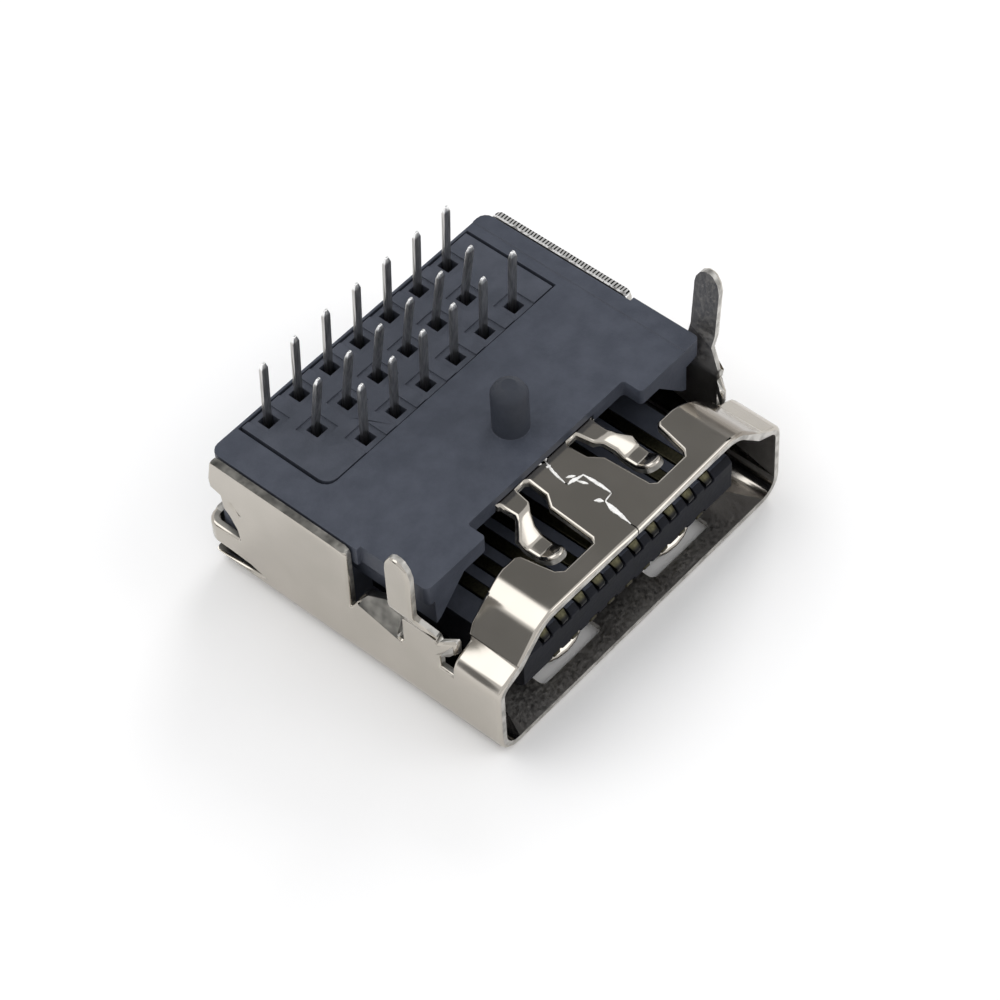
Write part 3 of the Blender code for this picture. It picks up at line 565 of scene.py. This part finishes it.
def lean_leg(form):
    for point in form.verts:
        if point.co.x > LEG_INSIDE and point.co.z > LEAN_FROM:
            point.co.x += LEAN * (point.co.z - LEAN_FROM) / LEAN_OVER


# Which edges are rolled over, how far the seam reaches, and how near a point lies to its arc.

SHORTEST_EDGE = 0.03
SEAM_REACH = 0.6
SEAM_REAR = 4.4
SEAM_NEAR = 0.1
ARC_NEAR = 0.004


def rolled(edge):
    """An edge where an outer skin meets a face of another slot, unless it is very short."""
    first, second = edge.link_faces
    if first.material_index == second.material_index or edge.calc_length() < SHORTEST_EDGE:
        return False
    return any(
        face.material_index == METAL and (faces_out(face) or in_wide_spring(face))
        for face in (first, second)
    )


def crisp(edge):
    """The long cut edges of the two walls, and both sides of the seam."""
    middle = (edge.verts[0].co + edge.verts[1].co) / 2
    across_seam = abs(middle.x) < SEAM_REACH and middle.z > TOP - SEAM_NEAR
    on_seam = across_seam and middle.y < SEAM_REAR - HALF_DEPTH
    cut = any(face.material_index in (LEFT_CUT_AND_SHADE, RIGHT_CUT) for face in edge.link_faces)
    return on_seam or (cut and middle.z > TOP)


def arc_normal(face, point):
    """The normal of the long bend's outer arc, where the point lies on it."""
    half = 1 if point.x > 0 else -1
    away = bend_arm(point, half)
    if face.material_index == PLAIN_CUT or point.y > COLLAR_REAR:
        return None
    if away.x < -1e-3 or away.y < away.x - 1e-3 or abs(away.length - BEND) > ARC_NEAR:
        return None
    return Vector((half * away.x, 0, away.y)).normalized()


# Widths of the rounded edges, the steps across them, and the angle below which a mesh is smooth.

ROLLED_WIDTH = 0.12
ROLLED_STEPS = 3
CRISP_WIDTH = 0.03
EDGE_STEPS = 2
SMOOTH_BELOW = 38

form = loaded_form("shell")
skins = BVHTree.FromBMesh(form)
for face in form.faces:
    face.material_index = shell_slot(face, skins)
for half in (-1, 1):
    round_bend(form, half)
wear_step(form)
bmesh.ops.remove_doubles(form, verts=form.verts, dist=JOIN_SHELL)
join_flat(form)
lean_leg(form)
soft_edges = sharp_edges(form, SHELL_SHARP, lambda edge: rolled(edge) and not crisp(edge))
soften(form, soft_edges, ROLLED_WIDTH, ROLLED_STEPS, False, METAL)
crisp_edges = sharp_edges(form, SHELL_SHARP, lambda edge: rolled(edge) and crisp(edge))
soften(form, crisp_edges, CRISP_WIDTH, EDGE_STEPS, True, METAL)
shell = finished(
    form,
    "shell_look",
    "shell",
    [metal, left_cut_and_shade, right_cut, plain_cut, mouth_metal_painted_shade, leg_metal_painted_light],
    SMOOTH_BELOW,
)
settle_normals(shell, arc_normal)


# The moulded pieces and the contacts.

HOUSING_EDGE = 0.04
ALIGNER_EDGE = 0.018
CONTACT_EDGE = 0.02
HOUSING, TONGUE_SHADE, PEG_SHADE = range(3)
TONGUE_TOP = 3.0
TONGUE_REACH = 5.6
TONGUE_REAR = 0.5
CHAMFER_REAR = -5.0
NEAR_TOP = 0.1
ABOVE_BOARD = 0.15


def refined(node, edge, materials, slot_of=None, smooth=SMOOTH_BELOW):
    """The node's own mesh with its flat faces joined up and its sharp edges slightly rounded."""
    form = loaded_form(node)
    bmesh.ops.remove_doubles(form, verts=form.verts, dist=JOIN_MOULDED)
    if slot_of:
        for face in form.faces:
            face.material_index = slot_of(face)
    join_flat(form)
    soften(form, sharp_edges(form, MOULDED_SHARP), edge, EDGE_STEPS, True)
    return finished(form, node + "_look", node, materials, smooth)


def housing_slot(face):
    """The material slot of one face: the peg and the tongue, but for its flat top, are darker, as
    painted shade.
    """
    middle = face.calc_center_median()
    if middle.z > BOARD + ABOVE_BOARD:
        return PEG_SHADE
    on_top = face.normal.z > UPWARD and middle.z > TONGUE_TOP - NEAR_TOP
    if on_top and middle.y > CHAMFER_REAR:
        return HOUSING
    in_tongue = abs(middle.x) < TONGUE_REACH and middle.y < TONGUE_REAR
    return TONGUE_SHADE if in_tongue and middle.z < TONGUE_TOP + NEAR_TOP else HOUSING


def flat_normal(face, point):
    """The face's own normal, where it is level or one of the large flat faces."""
    is_level = abs(face.normal.z) > 0.9999
    is_square = max(abs(part) for part in face.normal) > 0.9999
    return face.normal.copy() if is_level or (is_square and len(face.vertices) > 6) else None


housing = refined(
    "housing",
    HOUSING_EDGE,
    [housing_plastic, tongue_plastic_painted_shade, peg_plastic_painted_shade],
    housing_slot,
)
settle_normals(housing, flat_normal)
aligner = refined("tail_aligner", ALIGNER_EDGE, [aligner_plastic])
settle_normals(aligner, flat_normal)
for number in range(1, 20):
    refined(f"contact_{number:02d}", CONTACT_EDGE, [contact_plate_and_painted_light], smooth=50)


# Burrs along the seam of the narrow face, where its edges were pressed together. Each line is a
# row of (x, depth behind the mouth's edge, half width).

BURR_LINES = (
    [
        (-0.02, 4.16, 0.05),
        (-0.12, 3.92, 0.07),
        (-0.20, 3.67, 0.075),
        (-0.26, 3.4, 0.08),
        (-0.31, 3.08, 0.07),
    ],
    [(-0.30, 2.97, 0.06), (-0.12, 2.96, 0.11), (0.05, 2.90, 0.10), (0.32, 2.84, 0.07)],
    [(0.34, 2.86, 0.07), (0.35, 2.4, 0.10), (0.35, 2.0, 0.09), (0.34, 1.66, 0.06)],
    [(0.33, 1.62, 0.03), (0.14, 1.60, 0.03), (-0.05, 1.57, 0.05)],
    [(-0.28, 1.86, 0.06), (-0.16, 1.76, 0.12), (-0.10, 1.60, 0.08)],
    [(-0.06, 1.56, 0.07), (-0.13, 1.25, 0.14), (-0.19, 0.8, 0.11), (-0.26, 0.32, 0.05)],
    [(-0.12, 3.20, 0.04), (0.0, 3.13, 0.08), (0.14, 3.0, 0.05)],
    [(0.0, 2.84, 0.03), (0.07, 2.66, 0.08), (0.15, 2.46, 0.05)],
    [(0.0, 4.32, 0.06), (0.10, 4.2, 0.07)],
    [(-0.30, 4.30, 0.05), (-0.18, 4.2, 0.08)],
    [(-0.20, 3.98, 0.07), (-0.05, 3.93, 0.09)],
)
BURR_HEIGHT = 0.045
BURR_BASE = 5.195
BURR_SUNK = 0.05
RINGS_PER_STRETCH = 4
RING_POINTS = 7


def burr(form, line):
    """A low bead along one line, with uneven sides that run down into the sheet."""
    rings = []
    count = RINGS_PER_STRETCH * (len(line) - 1)
    for k in range(count + 1):
        at = k / RINGS_PER_STRETCH
        i = min(int(at), len(line) - 2)
        start = Vector(line[i])
        end = Vector(line[i + 1])
        x, depth, half_width = start.lerp(end, at - i)
        ahead = Vector((end.x - start.x, end.y - start.y)).normalized()
        taper = max(0.15, math.sin(math.pi * (k + 0.4) / (count + 0.8))) ** 0.5
        ring = []
        for n in range(RING_POINTS):
            side = 2 * n / (RING_POINTS - 1) - 1
            rough = noise_field.noise(Vector((x * 9 + n, depth * 9, k * 0.7)))
            wide = half_width * taper * (1 + 0.35 * rough)
            bead = BURR_HEIGHT * taper * (1 - side * side) * (1 + 0.5 * rough)
            lift = bead - BURR_SUNK * side**4
            ring.append(
                form.verts.new(
                    (
                        x - ahead.y * side * wide,
                        depth - HALF_DEPTH + ahead.x * side * wide,
                        BURR_BASE + lift,
                    )
                )
            )
        rings.append(ring)
    for first, second in zip(rings, rings[1:]):
        for n in range(RING_POINTS - 1):
            form.faces.new((first[n], first[n + 1], second[n + 1], second[n]))


burrs = bmesh.new()
for line in BURR_LINES:
    burr(burrs, line)
bmesh.ops.recalc_face_normals(burrs, faces=burrs.faces)
finished(burrs, "seam_burrs", None, [burr_painted_highlight], 60)


# The floor, a little below the part, so that the two don't share a plane. In metres.

FLOOR_REACH = 1.2
FLOOR_Z = -0.01 * MM

floor_mesh = bpy.data.meshes.new("floor")
floor_mesh.from_pydata(
    [
        (-FLOOR_REACH, -FLOOR_REACH, FLOOR_Z),
        (FLOOR_REACH, -FLOOR_REACH, FLOOR_Z),
        (FLOOR_REACH, FLOOR_REACH, FLOOR_Z),
        (-FLOOR_REACH, FLOOR_REACH, FLOOR_Z),
    ],
    [],
    [(0, 1, 2, 3)],
)
floor = bpy.data.objects.new("floor", floor_mesh)
bpy.context.scene.collection.objects.link(floor)
paper, _ = start_material("pale_paper", (0.93, 0.925, 0.92), 0.0, 0.9)
set_shader(paper, "Specular IOR Level", 0.1)
floor_mesh.materials.append(paper)


# A plain studio: even light all round, with a few soft pale and dark cards that the bright
# plate reflects. Each card is (direction, inner angle, outer angle, brightness).

STUDIO_LIGHT = 0.88
CARDS = [
    ((0.885, 0.431, 0.177), 16, 30, 1.0),
    ((0.75, 0.431, 0.50), 13, 20, 0.42),
    ((0.452, 0.431, 0.781), 13, 18, 0.235),
    ((-0.28, 0.43, 0.86), 21, 26, 2.3),
    ((-0.84, 0.43, 0.33), 12, 20, 0.24),
    ((0.45, -0.61, 0.65), 9, 18, 2.4),
]

world = bpy.data.worlds.new("studio")
bpy.context.scene.world = world
world.use_nodes = True
sky = world.node_tree.nodes
sky_wires = world.node_tree.links
background = sky["Background"]
directions = sky.new("ShaderNodeTexCoord")
strength = None
for direction, inner, outer, value in CARDS:
    toward = sky.new("ShaderNodeVectorMath")
    toward.operation = "DOT_PRODUCT"
    toward.inputs[1].default_value = Vector(direction).normalized()
    sky_wires.new(directions.outputs["Generated"], toward.inputs[0])
    rim = sky.new("ShaderNodeMapRange")
    rim.interpolation_type = "SMOOTHSTEP"
    rim.inputs["From Min"].default_value = math.cos(math.radians(outer))
    rim.inputs["From Max"].default_value = math.cos(math.radians(inner))
    sky_wires.new(toward.outputs["Value"], rim.inputs["Value"])
    mix = sky.new("ShaderNodeMix")
    mix.data_type = "FLOAT"
    sky_wires.new(rim.outputs["Result"], mix.inputs["Factor"])
    mix.inputs["A"].default_value = STUDIO_LIGHT
    if strength:
        sky_wires.new(strength, mix.inputs["A"])
    mix.inputs["B"].default_value = value
    strength = mix.outputs["Result"]
sky_wires.new(strength, background.inputs["Strength"])
background.inputs["Color"].default_value = (0.97, 0.975, 0.985, 1)


# The key light, in metres and watts. It lights the plastic and the floor, and the plate doesn't
# mirror it.

KEY_PLACE = (0.32, 0.12, 0.21)
KEY_SIZE = 0.16
KEY_POWER = 0.45

lamp = bpy.data.lights.new("key", "AREA")
lamp.shape = "RECTANGLE"
lamp.size = KEY_SIZE
lamp.size_y = KEY_SIZE
lamp.energy = KEY_POWER
key = bpy.data.objects.new("key", lamp)
bpy.context.scene.collection.objects.link(key)
key.location = KEY_PLACE
key.rotation_euler = (-Vector(KEY_PLACE)).to_track_quat("-Z", "Y").to_euler()
key.visible_glossy = False


# The camera of the photograph, as fitted to it: angles in degrees, place in millimetres.

SENSOR = 36.0
IMAGE_PIXELS = 1000
FOCAL_PIXELS = 3497
AZIMUTH, ELEVATION, ROLL = (math.radians(angle) for angle in (-46.34, 51.33, -3.48))
CAMERA_PLACE = Vector((-53.82, -51.628, 94.364))

lens = bpy.data.cameras.new("camera")
lens.sensor_width = SENSOR
lens.lens = SENSOR * FOCAL_PIXELS / IMAGE_PIXELS
lens.clip_start = 0.01
lens.clip_end = 10.0
camera = bpy.data.objects.new("camera", lens)
bpy.context.scene.collection.objects.link(camera)
back = Vector(
    (
        math.sin(AZIMUTH) * math.cos(ELEVATION),
        -math.cos(AZIMUTH) * math.cos(ELEVATION),
        math.sin(ELEVATION),
    )
)
level = Vector((math.cos(AZIMUTH), math.sin(AZIMUTH), 0))
rise = back.cross(level)
right = level * math.cos(ROLL) + rise * math.sin(ROLL)
up = rise * math.cos(ROLL) - level * math.sin(ROLL)
camera.matrix_world = Matrix.Translation(CAMERA_PLACE * MM) @ Matrix(
    (
        (right.x, up.x, back.x, 0),
        (right.y, up.y, back.y, 0),
        (right.z, up.z, back.z, 0),
        (0, 0, 0, 1),
    )
)
bpy.context.scene.camera = camera
bpy.context.scene.view_settings.view_transform = "Standard"
